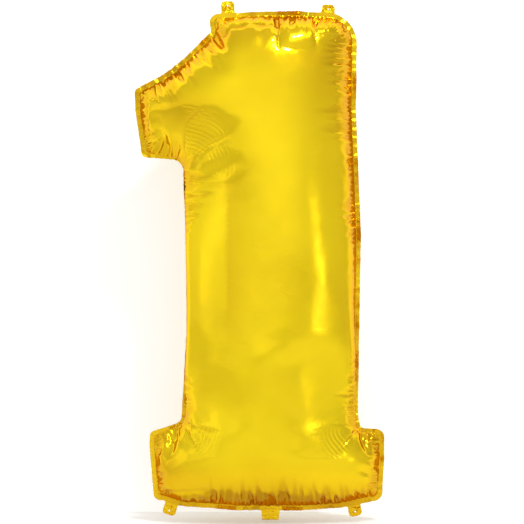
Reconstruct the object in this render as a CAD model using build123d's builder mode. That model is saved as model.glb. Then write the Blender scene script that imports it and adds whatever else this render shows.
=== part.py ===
from build123d import *
import math
import os

import numpy as np

# Foil number balloon, the figure 1, inflated. Millimetres, +Z up along the
# figure, the front skin faces -Y, and the seam lies in the plane Y = 0.

# ---- driving dimensions ------------------------------------------------------
PLY = 0.5               # thickness that stands in for one ply of metallised film
FLANGE = 8.5            # width of the flat heat-sealed seam all round
PUFF = 0.76             # how round the inflated section is: 1 would be a circle
WALL_LEVEL = 84.0       # mm2, sets the thickness of the inflated wall
WALL_AT_SEAM = 0.6      # and its thickness beside the seam
GRID = 3.0              # spacing of the membrane solution and of the sections
SECTION_POINTS = 20     # facets across one section
STEM_X = 22.0           # middle of the stem

TAB_W = 24.0            # hanging tabs at the four corners
TAB_L = 20.5
TAB_CORNER_R = 7.0
TAB_HOLE_R = 1.5
TAB_HOLE_IN = 8.0       # from the tab's free end to the hole's centre
TAB_ROOT_GAP = 0.2

TAIL_X = 19.4           # inflation tail at the bottom of the stem
TAIL_W = 33.0
TAIL_CORNER_R = 6.0
NECK_W = 20.0           # flat channel for the filling straw or nozzle
NECK_HALF = 0.8
NECK_PLY = 0.5

VALVE_W = 26.0          # pair of films that close the neck from inside
VALVE_L = 105.0
VALVE_PLY = 0.4
VALVE_GAP = 0.4         # between the two films
VALVE_Z = 31.0          # their weld line

# Edge of the sealed flange: X, Z and corner radius, clockwise from top left.
OUTLINE = [
    (-90.0, 881.0, 15.7), (4.6, 885.8, 104.4), (70.7, 886.2, 104.4),
    (170.8, 880.1, 52.2), (168.7, 713.9, 156.6), (177.4, 496.4, 261.0),
    (172.0, 183.2, 104.4), (176.5, 160.9, 8.7), (217.8, 158.9, 15.7),
    (217.8, 113.6, 34.8), (214.5, 35.0, 17.4), (189.1, 31.0, 20.9),
    (136.9, 20.5, 52.2), (70.7, 16.9, 104.4), (-37.1, 16.9, 104.4),
    (-82.4, 20.6, 69.6), (-134.6, 23.5, 52.2), (-165.9, 33.6, 17.4),
    (-183.7, 35.3, 12.2), (-192.0, 129.3, 34.8), (-192.0, 153.6, 12.2),
    (-136.3, 171.7, 13.9), (-127.6, 331.1, 261.0), (-129.0, 487.7, 156.6),
    (-133.5, 626.1, 20.9), (-204.5, 631.1, 5.2), (-216.0, 710.4, 52.2),
    (-218.0, 749.4, 5.2), (-163.6, 778.3, 104.4), (-131.1, 804.4, 104.4),
    (-84.5, 850.3, 4.3),
]

os.makedirs("parts", exist_ok=True)


# ---- the inner edge of the seam ---------------------------------------------
def inset(points, d):
    """Move each side of a clockwise polygon inwards by d."""
    out = []
    n = len(points)
    for i in range(n):
        a, b, c = (np.array(points[(i + k) % n][:2]) for k in (-1, 0, 1))
        u, v = (b - a) / np.linalg.norm(b - a), (c - b) / np.linalg.norm(c - b)
        nu, nv = np.array([u[1], -u[0]]), np.array([v[1], -v[0]])
        bisector = (nu + nv) / (1.0 + float(nu @ nv))
        out.append(b + bisector * d)
    return np.array(out)


RIM = inset(OUTLINE, FLANGE)


def crossings(points, level, across):
    """Where the polygon crosses a line of constant Z (across 0) or X (across 1)."""
    along, other = (1, 0) if across == 0 else (0, 1)
    found = []
    n = len(points)
    for i in range(n):
        a, b = points[i], points[(i + 1) % n]
        if (a[along] <= level) != (b[along] <= level):
            t = (level - a[along]) / (b[along] - a[along])
            found.append(a[other] + t * (b[other] - a[other]))
    return sorted(found)


# ---- height of the inflated skin --------------------------------------------
# A film under gas pressure: laplace(phi) = -1 inside the seam, phi = 0 on it,
# and the skin stands PUFF * sqrt(2 phi) in front of the seam plane. On a long
# strip this is an ellipse.
xs = np.arange(-222.0, 222.0 + GRID, GRID)
zs = np.arange(RIM[:, 1].min() + 1.2, RIM[:, 1].max(), GRID)
inside = np.zeros((len(zs), len(xs)), bool)
east, west, north, south = (np.full(inside.shape, GRID) for _ in range(4))
for j, z in enumerate(zs):
    hit = crossings(RIM, z, 0)
    for lo, hi in zip(hit[::2], hit[1::2]):
        row = (xs > lo + 0.02) & (xs < hi - 0.02)
        inside[j] |= row
        east[j, row] = np.minimum(GRID, hi - xs[row])
        west[j, row] = np.minimum(GRID, xs[row] - lo)
for i, x in enumerate(xs):
    hit = crossings(RIM, x, 1)
    for lo, hi in zip(hit[::2], hit[1::2]):
        col = inside[:, i] & (zs > lo) & (zs < hi)
        north[col, i] = np.maximum(0.05, np.minimum(GRID, hi - zs[col]))
        south[col, i] = np.maximum(0.05, np.minimum(GRID, zs[col] - lo))

phi = np.zeros(inside.shape)
ce, cw = 2 / (east * (east + west)), 2 / (west * (east + west))
cn, cs = 2 / (north * (north + south)), 2 / (south * (north + south))
ce, cw = ce * (east >= GRID), cw * (west >= GRID)
cn, cs = cn * (north >= GRID), cs * (south >= GRID)
diag = 2 / (east * west) + 2 / (north * south)
jj, ii = np.indices(inside.shape)
for sweep in range(900):
    for colour in (0, 1):
        pick = inside & ((ii + jj) % 2 == colour)
        pad = np.pad(phi, 1)
        new = (1 + ce * pad[1:-1, 2:] + cw * pad[1:-1, :-2]
               + cn * pad[2:, 1:-1] + cs * pad[:-2, 1:-1]) / diag
        phi[pick] += 1.95 * (new - phi)[pick]
phi = np.maximum(phi, 0.0)


def section(j):
    """One half section, from the left edge to the right edge: X and height of
    the outside, and X and height of the gas space behind it."""
    hit = crossings(RIM, zs[j], 0)
    row = inside[j]
    x = np.concatenate([[hit[0]], xs[row], [hit[-1]]])
    f = np.concatenate([[0.0], phi[j, row], [0.0]])
    # points gather at both edges and are counted from the stem's middle, so
    # that the flag and the base don't shift those on the other side
    bend = np.cos(np.pi * np.arange(SECTION_POINTS + 1) / SECTION_POINTS)
    wide = x[-1] - x[0]
    middle = min(max(STEM_X, x[0] + 0.3 * wide), x[-1] - 0.3 * wide)
    px = middle - bend * np.where(bend > 0, middle - x[0], x[-1] - middle)
    level = np.interp(px, x, f)
    outer = PUFF * np.sqrt(2 * level)
    inner = PUFF * np.sqrt(2 * np.maximum(level - WALL_LEVEL, 0.0))
    return px, outer, px + WALL_AT_SEAM * bend, inner


# Rows used for the sections: close together where the outline turns.
last = len(zs) - 1
wanted = {0, 1, 2, 4, 7, 11, last, last - 1, last - 2, last - 4, last - 7,
          last - 11}
for z_turn in (*range(141, 172, 3), *range(627, 649, 3), 184, 612, 660,
               *range(720, 860, 14), *range(80, 860, 36)):
    wanted.add(int(round((z_turn - zs[0]) / GRID)))
rows = sorted(wanted)

flat_outline = [(x, z) for x, z, _ in OUTLINE]
radii = [r for _, _, r in OUTLINE]


def build_front_panel():
    with BuildPart() as panel:
        # inflated skin, solid for now
        for j in rows:
            px, h, _, _ = section(j)
            with BuildSketch(Plane.XY.offset(float(zs[j]))):
                with BuildLine():
                    Polyline(*[(float(a), float(-b)) for a, b in zip(px, h)],
                             close=True)
                make_face()
        loft(ruled=True)
        # flat sealed flange, front ply
        with BuildSketch(Plane.XZ):
            with BuildLine():
                FilletPolyline(*flat_outline, radius=radii, close=True)
            make_face()
        extrude(amount=PLY)
        # raised half of the filling neck
        with BuildSketch(Plane.XY.offset(16.9)):
            with BuildLine():
                Polyline((TAIL_X - 13.0, 0), (TAIL_X - 10.9, -NECK_HALF - NECK_PLY),
                         (TAIL_X + 10.9, -NECK_HALF - NECK_PLY), (TAIL_X + 13.0, 0),
                         close=True)
            make_face()
        extrude(amount=10.6)
        # the gas space
        for j in rows[1:-1]:
            px, h = (v.tolist() for v in section(j)[2:])
            # where the skin is too low for a gas space the cutter stays behind it
            pts = [(a, -b if b > 0 else 0.04 + 0.04 * (k % 2))
                   for k, (a, b) in enumerate(zip(px, h))]
            pts = [(px[0], 1.0)] + pts + [(px[-1], 1.0)]
            with BuildSketch(Plane.XY.offset(float(zs[j]))):
                with BuildLine():
                    Polyline(*pts, close=True)
                make_face()
        loft(ruled=True, mode=Mode.SUBTRACT)
        # front half of the filling channel through the seam
        with BuildSketch(Plane.XY.offset(10.0)):
            with Locations((TAIL_X, -NECK_HALF / 2 + 0.5)):
                Rectangle(NECK_W, NECK_HALF + 1.0)
        extrude(amount=20.0, mode=Mode.SUBTRACT)
    return panel


front_foil_panel = build_front_panel()
front_foil_panel.part.label = "front_foil_panel"
export_step(front_foil_panel.part, "parts/front_foil_panel.step")

with BuildPart() as rear_foil_panel:
    mirror(front_foil_panel.part, about=Plane.XZ)
rear_foil_panel.part.label = "rear_foil_panel"
export_step(rear_foil_panel.part, "parts/rear_foil_panel.step")


# ---- hanging tabs ------------------------------------------------------------
def tab_plane(a, b, x):
    """Plane on the flange's edge from corner a to corner b, at X = x, with its
    local y pointing away from the balloon and its normal to the front."""
    (xa, za, _), (xb, zb, _) = OUTLINE[a], OUTLINE[b]
    t = (x - xa) / (xb - xa)
    ux, uz = xb - xa, zb - za
    n = math.hypot(ux, uz)
    ux, uz = ux / n, uz / n
    out_x, out_z = -uz, ux
    reach = TAB_ROOT_GAP + PLY
    return Plane(origin=(x + out_x * reach, 0, za + t * (zb - za) + out_z * reach),
                 x_dir=(ux, 0, uz), z_dir=(0, -1, 0))


TABS = {
    "hanging_tab_top_left": (tab_plane(0, 1, -54.5), TAB_L),
    "hanging_tab_top_right": (tab_plane(2, 3, 119.5), TAB_L - 6.5),
    "hanging_tab_bottom_left": (tab_plane(16, 17, -152.6), TAB_L),
    "hanging_tab_bottom_right": (tab_plane(11, 12, 164.5), TAB_L - 1.5),
}

for tab_name, (plane, length) in TABS.items():
    with BuildPart() as tab:
        # two sealed plies, cut to a rounded tongue
        with BuildSketch(plane):
            with Locations((0, length / 2 - 1.0)):
                Rectangle(TAB_W, length + 2.0)
            fillet(vertices().group_by(Axis(plane.origin, plane.y_dir))[-1],
                   radius=TAB_CORNER_R)
            with Locations((0, length - TAB_HOLE_IN)):
                Circle(TAB_HOLE_R, mode=Mode.SUBTRACT)
        extrude(amount=PLY, both=True)
        # the root is rounded about the line that the tab folds on
        side = Plane(origin=plane.origin, x_dir=plane.y_dir, z_dir=plane.x_dir)
        with BuildSketch(side):
            Circle(PLY)
            with Locations((length / 2 + 0.5, 0)):
                Rectangle(length + 1.0, 2 * PLY)
        extrude(amount=TAB_W, both=True, mode=Mode.INTERSECT)
    tab.part.label = tab_name
    export_step(tab.part, f"parts/{tab_name}.step")
    hole = plane.from_local_coords((0, length - TAB_HOLE_IN, 0))
    print(f"{tab_name}: fold line {tuple(round(v, 3) for v in plane.origin)}, "
          f"along {tuple(round(v, 5) for v in plane.x_dir)}, "
          f"hole {tuple(round(v, 3) for v in hole)}")

# ---- inflation tail ----------------------------------------------------------
TAIL_FOLD_Z = 16.9 - 0.3 - (NECK_HALF + NECK_PLY)


def build_tail_ply(sign, label):
    with BuildPart() as ply:
        # flat wings and a raised middle that leaves the channel open
        with BuildSketch(Plane.XY):
            with BuildLine():
                Polyline(*[(TAIL_X + x, sign * y) for x, y in [
                    (-TAIL_W / 2, 0), (-12.0, 0), (-NECK_W / 2, NECK_HALF),
                    (NECK_W / 2, NECK_HALF), (12.0, 0), (TAIL_W / 2, 0),
                    (TAIL_W / 2, PLY), (12.3, PLY),
                    (NECK_W / 2 + 0.2, NECK_HALF + NECK_PLY),
                    (-NECK_W / 2 - 0.2, NECK_HALF + NECK_PLY), (-12.3, PLY),
                    (-TAIL_W / 2, PLY)]], close=True)
            make_face()
        extrude(amount=20.0)
        # rounded free end
        with BuildSketch(Plane.XZ):
            with Locations((TAIL_X, 10.0)):
                Rectangle(TAIL_W, 20.0)
            fillet(vertices().group_by(Axis.Z)[0], radius=TAIL_CORNER_R)
        extrude(amount=3.0, both=True, mode=Mode.INTERSECT)
        # root rounded about the fold line
        with BuildSketch(Plane.YZ.offset(TAIL_X)):
            with Locations((0, TAIL_FOLD_Z)):
                Circle(NECK_HALF + NECK_PLY)
            with Locations((0, TAIL_FOLD_Z / 2)):
                Rectangle(2 * (NECK_HALF + NECK_PLY), TAIL_FOLD_Z)
        extrude(amount=TAIL_W, both=True, mode=Mode.INTERSECT)
    ply.part.label = label
    export_step(ply.part, f"parts/{label}.step")
    return ply


inflation_tail_front = build_tail_ply(-1, "inflation_tail_front")
inflation_tail_rear = build_tail_ply(1, "inflation_tail_rear")
print("tail fold line z", TAIL_FOLD_Z)


# ---- self-closing valve films inside the neck --------------------------------
def build_valve_film(sign, label):
    y_mid = sign * (VALVE_GAP + VALVE_PLY) / 2
    with BuildPart() as film:
        with BuildSketch(Plane.XZ.offset(-y_mid)):
            with Locations((TAIL_X, VALVE_Z + VALVE_L / 2)):
                Rectangle(VALVE_W, VALVE_L)
            fillet(vertices().group_by(Axis.Z)[-1], radius=5.0)
        extrude(amount=VALVE_PLY / 2, both=True)
        with BuildSketch(Plane.YZ.offset(TAIL_X)):
            with Locations((y_mid, VALVE_Z + VALVE_PLY / 2)):
                Circle(VALVE_PLY / 2)
            with Locations((y_mid, VALVE_Z + VALVE_PLY / 2 + VALVE_L / 2)):
                Rectangle(VALVE_PLY, VALVE_L)
        extrude(amount=VALVE_W, both=True, mode=Mode.INTERSECT)
    film.part.label = label
    export_step(film.part, f"parts/{label}.step")
    print(f"{label}: fold line y {y_mid}, z {VALVE_Z + VALVE_PLY / 2}")
    return film


valve_film_front = build_valve_film(-1, "valve_film_front")
valve_film_rear = build_valve_film(1, "valve_film_rear")

box = front_foil_panel.part.bounding_box()
print("front panel", box.min, box.max)
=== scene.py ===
import math

import bpy
import numpy as np
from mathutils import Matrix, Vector, kdtree
from mathutils.geometry import delaunay_2d_cdt


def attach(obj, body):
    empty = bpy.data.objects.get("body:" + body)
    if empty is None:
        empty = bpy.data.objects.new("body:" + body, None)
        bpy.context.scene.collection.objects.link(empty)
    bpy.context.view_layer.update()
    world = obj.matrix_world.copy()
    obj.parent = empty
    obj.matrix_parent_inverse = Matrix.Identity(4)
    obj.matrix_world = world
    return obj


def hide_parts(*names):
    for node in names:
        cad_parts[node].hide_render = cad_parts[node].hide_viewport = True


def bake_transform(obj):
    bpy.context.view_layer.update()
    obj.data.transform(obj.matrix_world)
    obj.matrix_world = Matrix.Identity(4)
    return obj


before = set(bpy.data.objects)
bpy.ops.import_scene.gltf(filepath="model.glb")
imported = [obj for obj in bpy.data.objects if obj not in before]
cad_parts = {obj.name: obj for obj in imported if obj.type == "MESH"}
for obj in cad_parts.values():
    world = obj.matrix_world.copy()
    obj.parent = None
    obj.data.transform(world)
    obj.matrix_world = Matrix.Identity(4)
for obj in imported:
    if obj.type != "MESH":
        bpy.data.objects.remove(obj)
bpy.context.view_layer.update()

# ---------------------------------------------------------------- the figure
FLANGE = 0.0082          # width of the heat-sealed edge
# corners of the figure's outer edge: x, z and corner radius in millimetres
OUTLINE = [
    (-90.0, 881.0, 15.7), (4.6, 885.8, 104.4), (70.7, 886.2, 104.4),
    (170.8, 880.1, 52.2), (168.7, 713.9, 156.6), (177.4, 496.4, 261.0),
    (172.0, 183.2, 104.4), (176.5, 160.9, 8.7), (217.8, 158.9, 15.7),
    (217.8, 113.6, 34.8), (214.5, 35.0, 17.4), (189.1, 31.0, 20.9),
    (136.9, 20.5, 52.2), (70.7, 16.9, 104.4), (-37.1, 16.9, 104.4),
    (-82.4, 20.6, 69.6), (-134.6, 23.5, 52.2), (-165.9, 33.6, 17.4),
    (-183.7, 35.3, 12.2), (-192.0, 129.3, 34.8), (-192.0, 153.6, 12.2),
    (-136.3, 171.7, 13.9), (-127.6, 331.1, 261.0), (-129.0, 487.7, 156.6),
    (-133.5, 626.1, 20.9), (-204.5, 631.1, 5.2), (-216.0, 710.4, 52.2),
    (-218.0, 749.4, 5.2), (-163.6, 778.3, 104.4), (-131.1, 804.4, 104.4),
    (-84.5, 850.3, 4.3),
]
# The same seam line on the flat film before filling, x and z in millimetres.
# It runs round the figure in even steps of the filled seam's length.
FLAT = [
    -93.5, 899.2, -89.9, 905.0, -83.2, 908.3, -76.0, 909.2, -69.1, 910.3, -62.4, 911.4,
    -55.8, 912.5, -49.2, 913.6, -42.6, 914.6, -35.9, 915.5, -29.2, 916.3, -22.5, 917.0,
    -15.7, 917.6, -9.0, 918.1, -2.2, 918.6, 4.6, 919.0, 11.4, 919.1, 18.2, 919.2, 25.1, 919.2,
    31.9, 919.1, 38.7, 919.0, 45.6, 918.8, 52.4, 918.5, 59.3, 918.2, 66.2, 917.7, 73.0, 917.3,
    79.9, 916.6, 86.8, 915.6, 93.6, 914.6, 100.5, 913.4, 107.3, 912.2, 114.1, 910.8,
    121.0, 909.4, 127.8, 907.8, 134.6, 906.2, 141.4, 904.3, 148.0, 901.7, 154.4, 898.4,
    160.4, 894.5, 166.1, 890.0, 171.3, 884.9, 176.0, 879.4, 180.2, 873.5, 183.7, 867.3,
    186.6, 860.9, 188.8, 854.2, 190.4, 847.6, 191.9, 840.9, 193.5, 834.2, 194.9, 827.6,
    196.3, 820.9, 197.5, 814.3, 198.7, 807.6, 199.8, 801.0, 200.9, 794.4, 201.9, 787.8,
    202.8, 781.2, 203.6, 774.6, 204.4, 768.0, 205.2, 761.5, 205.9, 754.9, 206.5, 748.4,
    207.1, 741.9, 207.7, 735.4, 208.2, 729.0, 208.7, 722.6, 209.4, 716.2, 210.0, 709.8,
    210.6, 703.4, 211.2, 697.0, 211.8, 690.7, 212.3, 684.3, 212.8, 678.0, 213.3, 671.6,
    213.8, 665.3, 214.3, 659.0, 214.7, 652.7, 215.1, 646.4, 215.5, 640.1, 215.9, 633.8,
    216.3, 627.6, 216.7, 621.3, 217.1, 615.1, 217.4, 608.8, 217.8, 602.6, 218.1, 596.4,
    218.4, 590.2, 218.7, 583.9, 219.0, 577.7, 219.3, 571.5, 219.6, 565.3, 219.9, 559.1,
    220.1, 553.0, 220.4, 546.8, 220.6, 540.6, 220.9, 534.4, 221.1, 528.2, 221.3, 522.0,
    221.5, 515.8, 221.8, 509.7, 222.0, 503.5, 222.1, 497.3, 222.2, 491.1, 222.1, 484.9,
    222.1, 478.7, 222.1, 472.6, 222.0, 466.4, 222.0, 460.2, 221.9, 454.1, 221.8, 448.0,
    221.7, 441.8, 221.6, 435.7, 221.5, 429.6, 221.4, 423.5, 221.3, 417.4, 221.2, 411.3,
    221.1, 405.2, 220.9, 399.1, 220.8, 393.0, 220.6, 386.9, 220.5, 380.8, 220.4, 374.7,
    220.2, 368.6, 220.1, 362.6, 219.9, 356.5, 219.7, 350.4, 219.6, 344.3, 219.4, 338.2,
    219.3, 332.1, 219.1, 326.0, 218.9, 319.9, 218.8, 313.8, 218.6, 307.7, 218.4, 301.6,
    218.2, 295.5, 218.0, 289.4, 217.8, 283.2, 217.7, 277.1, 217.5, 271.0, 217.3, 264.8,
    217.1, 258.7, 216.9, 252.5, 216.7, 246.3, 216.6, 240.1, 216.4, 233.9, 216.2, 227.6,
    216.0, 221.2, 215.8, 214.9, 215.6, 208.5, 215.4, 202.4, 215.0, 196.6, 214.6, 191.4,
    214.2, 186.9, 213.8, 182.9, 213.6, 179.1, 213.4, 175.3, 213.2, 171.0, 213.6, 166.4,
    215.6, 162.1, 218.6, 158.7, 222.2, 156.7, 226.2, 154.7, 230.5, 152.3, 235.3, 149.7,
    239.9, 145.1, 241.6, 137.8, 241.4, 130.4, 241.4, 123.3, 241.3, 116.3, 241.2, 109.5,
    240.9, 102.8, 240.3, 96.0, 239.5, 89.3, 238.6, 82.6, 237.6, 75.9, 236.4, 69.3, 235.1, 62.7,
    233.7, 56.1, 232.2, 49.5, 230.6, 42.8, 229.0, 36.1, 227.4, 29.3, 223.2, 23.3, 216.9, 20.0,
    210.5, 17.6, 204.2, 15.1, 198.0, 12.4, 191.7, 9.8, 185.4, 7.3, 179.1, 4.9, 172.8, 2.6,
    166.4, 0.4, 159.9, -1.7, 153.5, -3.9, 146.9, -5.5, 140.3, -6.8, 133.6, -8.0, 127.0, -9.2,
    120.3, -10.3, 113.6, -11.4, 106.9, -12.4, 100.2, -13.3, 93.5, -14.2, 86.8, -15.0,
    80.1, -15.8, 73.3, -16.3, 66.6, -16.7, 59.8, -17.1, 53.1, -17.4, 46.3, -17.6, 39.6, -17.8,
    32.9, -17.9, 26.1, -18.0, 19.4, -18.0, 12.7, -18.0, 5.9, -17.9, -0.8, -17.8, -7.5, -17.6,
    -14.2, -17.4, -21.0, -17.1, -27.7, -16.8, -34.4, -16.4, -41.2, -16.0, -47.9, -15.2,
    -54.6, -14.3, -61.2, -13.4, -67.9, -12.4, -74.5, -11.4, -81.2, -10.3, -87.8, -9.1,
    -94.4, -7.9, -101.0, -6.8, -107.6, -5.5, -114.1, -4.2, -120.7, -2.8, -127.3, -1.4,
    -133.9, 0.1, -140.4, 1.7, -147.0, 3.3, -153.4, 5.8, -159.6, 8.8, -165.7, 11.9, -171.8, 15.1,
    -177.9, 18.3, -184.2, 21.3, -190.7, 23.3, -196.2, 27.5, -197.8, 34.5, -199.5, 41.3,
    -201.3, 47.9, -203.0, 54.5, -204.7, 61.1, -206.1, 67.7, -207.5, 74.3, -208.7, 81.0,
    -209.7, 87.7, -210.6, 94.4, -211.4, 101.2, -212.0, 107.9, -212.5, 114.8, -213.0, 121.6,
    -212.9, 128.7, -213.0, 136.0, -212.5, 143.5, -207.7, 148.2, -202.7, 152.4, -197.9, 156.8,
    -193.3, 161.2, -189.0, 165.3, -185.1, 168.9, -181.3, 171.7, -177.9, 174.5, -175.0, 177.9,
    -173.2, 181.8, -172.6, 185.7, -173.4, 189.5, -174.3, 193.3, -175.1, 197.5, -175.5, 202.1,
    -175.6, 207.0, -175.6, 211.8, -175.6, 216.7, -175.6, 221.8, -175.6, 227.4, -175.6, 233.4,
    -175.5, 239.7, -175.4, 246.1, -175.2, 252.6, -175.0, 258.9, -174.8, 265.1, -174.6, 271.3,
    -174.4, 277.5, -174.2, 283.6, -174.0, 289.6, -173.9, 295.7, -173.7, 301.7, -173.6, 307.7,
    -173.4, 313.7, -173.3, 319.7, -173.1, 325.7, -173.0, 331.7, -173.1, 337.7, -173.2, 343.7,
    -173.2, 349.7, -173.3, 355.7, -173.3, 361.6, -173.4, 367.6, -173.5, 373.6, -173.6, 379.6,
    -173.7, 385.6, -173.7, 391.6, -173.8, 397.6, -173.9, 403.6, -174.0, 409.6, -174.1, 415.6,
    -174.2, 421.6, -174.3, 427.5, -174.5, 433.5, -174.6, 439.5, -174.7, 445.5, -174.8, 451.5,
    -174.9, 457.5, -175.1, 463.5, -175.2, 469.4, -175.4, 475.4, -175.5, 481.4, -175.7, 487.4,
    -176.0, 493.4, -176.3, 499.4, -176.5, 505.4, -176.8, 511.4, -177.1, 517.4, -177.4, 523.5,
    -177.7, 529.6, -178.0, 535.8, -178.3, 542.1, -178.5, 548.2, -178.6, 554.1, -178.7, 559.5,
    -178.7, 564.5, -178.9, 569.3, -179.1, 574.2, -179.4, 579.2, -179.5, 584.0, -179.5, 588.4,
    -179.2, 592.2, -178.8, 595.7, -179.0, 599.2, -180.1, 602.9, -181.5, 606.4, -183.3, 609.4,
    -185.3, 611.9, -187.9, 613.8, -191.4, 615.3, -195.8, 617.3, -201.0, 620.1, -206.5, 623.3,
    -212.3, 626.6, -218.1, 630.0, -224.0, 633.1, -230.0, 635.8, -233.0, 642.3, -234.1, 649.6,
    -235.4, 656.6, -236.6, 663.4, -237.8, 670.1, -238.8, 676.8, -239.7, 683.6, -240.5, 690.3,
    -241.1, 697.1, -241.6, 703.9, -241.9, 710.8, -242.2, 717.6, -242.0, 724.4, -241.5, 731.3,
    -240.9, 738.3, -240.3, 745.2, -239.9, 752.4, -239.0, 759.5, -233.6, 764.1, -228.4, 768.6,
    -223.2, 773.1, -218.2, 777.6, -213.2, 782.1, -208.1, 786.4, -203.0, 790.6, -197.9, 794.8,
    -192.9, 799.0, -187.9, 803.3, -183.1, 807.8, -178.3, 812.3, -173.5, 816.7, -168.7, 821.1,
    -163.8, 825.4, -158.9, 829.7, -154.1, 834.1, -149.4, 838.7, -144.6, 843.2, -139.9, 847.6,
    -135.1, 852.1, -130.2, 856.5, -125.4, 860.8, -120.5, 865.1, -115.5, 869.4, -110.3, 873.6,
    -104.7, 877.6, -99.5, 882.3, -96.5, 887.9, -95.0, 893.5,
]
# hanging tabs: fold point, direction along the fold, direction outwards, length, hole (m)
TABS = {
    "top_left": ((-0.054535, 0.8835), (0.99872, 0.05067), (-0.05067, 0.99872), 0.0205, 0.0125),
    "top_right": ((0.119543, 0.883925), (0.99815, -0.06083), (0.06083, 0.99815), 0.0140, 0.0060),
    "bottom_left": ((-0.152815, 0.028642), (-0.95168, 0.30709), (-0.30709, -0.95168), 0.0205, 0.0125),
    "bottom_right": ((0.164638, 0.025365), (-0.98036, -0.1972), (0.1972, -0.98036), 0.0190, 0.0110),
}
TAB_W = 0.024
TAIL_X, TAIL_W, TAIL_TOP = 0.0194, 0.033, 0.0172
S_RIM, S_MID = 0.0042, 0.011     # cloth mesh spacing at the seam and in the middle
SIM_FRAMES, RAMP = 30, 15


def rounded(poly, step):
    """closed polyline with filleted corners, resampled at about step"""
    n = len(poly)
    pts = []
    P = [np.array(p[:2], float) for p in poly]
    for i in range(n):
        a, b, c = P[i - 1], P[i], P[(i + 1) % n]
        r = poly[i][2]
        u = (a - b) / np.linalg.norm(a - b)
        v = (c - b) / np.linalg.norm(c - b)
        ang = math.acos(max(-1, min(1, float(u @ v))))
        t = r / math.tan(ang / 2)
        p0, p1 = b + u * t, b + v * t
        cen = b + (u + v) / np.linalg.norm(u + v) * (r / math.sin(ang / 2))
        a0 = math.atan2(*(p0 - cen)[::-1])
        a1 = math.atan2(*(p1 - cen)[::-1])
        d = (a1 - a0 + math.pi) % (2 * math.pi) - math.pi
        k = max(2, int(abs(d) * r / 1.0) + 1)
        for s in np.linspace(0, 1, k + 1):
            pts.append(cen + r * np.array([math.cos(a0 + d * s), math.sin(a0 + d * s)]))
    pts = np.array(pts)
    L = np.linalg.norm(np.roll(pts, -1, 0) - pts, axis=1)
    keep = L > 1e-6
    pts, L = pts[keep], L[keep]
    cum = np.concatenate([[0], np.cumsum(L)])
    m = int(round(cum[-1] / step))
    s = np.arange(m) * cum[-1] / m
    closed = np.vstack([pts, pts[:1]])
    return np.stack([np.interp(s, cum, closed[:, k]) for k in (0, 1)], 1)


def inset_poly(points, d):
    out = []
    n = len(points)
    for i in range(n):
        a, b, c = (np.array(points[(i + k) % n][:2], float) for k in (-1, 0, 1))
        u, v = (b - a) / np.linalg.norm(b - a), (c - b) / np.linalg.norm(c - b)
        nu, nv = np.array([u[1], -u[0]]), np.array([v[1], -v[0]])
        bis = (nu + nv) / (1.0 + float(nu @ nv))
        turn = u[0] * v[1] - u[1] * v[0]
        r = points[i][2]
        r = max(r - d, 3.0) if turn < 0 else r + d
        q = b + bis * d
        out.append((q[0], q[1], r))
    return out


def closed_length(c):
    return np.concatenate([[0], np.cumsum(np.linalg.norm(np.roll(c, -1, 0) - c, axis=1))])


def at_length(c, cum, s):
    """points of the closed line c at lengths s"""
    s = np.mod(s, cum[-1])
    return np.stack([np.interp(s, cum, np.append(c[:, k], c[0, k])) for k in (0, 1)], 1)


def seg_dist(p, c):
    a, b = c, np.roll(c, -1, 0)
    out = np.full(len(p), 1e9)
    d = b - a
    dd = (d * d).sum(1)
    for k in range(0, len(p), 2000):
        q = p[k:k + 2000, None, :] - a[None]
        t = np.clip((q * d[None]).sum(2) / dd[None], 0, 1)
        out[k:k + 2000] = np.sqrt(((q - t[..., None] * d[None]) ** 2).sum(2).min(1))
    return out


def in_poly(p, c):
    a, b = c, np.roll(c, -1, 0)
    r = np.zeros(len(p), bool)
    for i in range(len(a)):
        cond = (a[i, 1] > p[:, 1]) != (b[i, 1] > p[:, 1])
        if cond.any():
            x = (b[i, 0] - a[i, 0]) * (p[:, 1] - a[i, 1]) / (b[i, 1] - a[i, 1]) + a[i, 0]
            r ^= cond & (p[:, 0] < x)
    return r


def left_normal(c, smooth=0):
    """inward unit normals of a clockwise closed line"""
    t = np.roll(c, -1, 0) - np.roll(c, 1, 0)
    n = np.stack([t[:, 1], -t[:, 0]], 1)
    n /= np.linalg.norm(n, axis=1)[:, None]
    for _ in range(smooth):
        n = (n + np.roll(n, 1, 0) + np.roll(n, -1, 0)) / 3
    return n / np.linalg.norm(n, axis=1)[:, None]


def smooth_noise(t, seed, period, cell):
    """1-D smooth noise in -1..1, periodic over period"""
    rng = np.random.default_rng(seed)
    n = max(4, int(round(period / cell)))
    v = rng.uniform(-1, 1, n)
    x = np.mod(t / period, 1.0) * n
    i = np.floor(x).astype(int)
    f = x - i
    f = f * f * (3 - 2 * f)
    return v[i % n] * (1 - f) + v[(i + 1) % n] * f


SEAM = rounded(inset_poly(OUTLINE, FLANGE * 1000), 0.8) / 1000.0
SEAM_CUM = closed_length(SEAM)
SEAM_LEN = SEAM_CUM[-1]
C = np.array(FLAT, float).reshape(-1, 2) / 1000.0
M = len(C)
CUT_CUM = closed_length(C)
T = at_length(SEAM, SEAM_CUM, np.arange(M) * SEAM_LEN / M)


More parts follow.
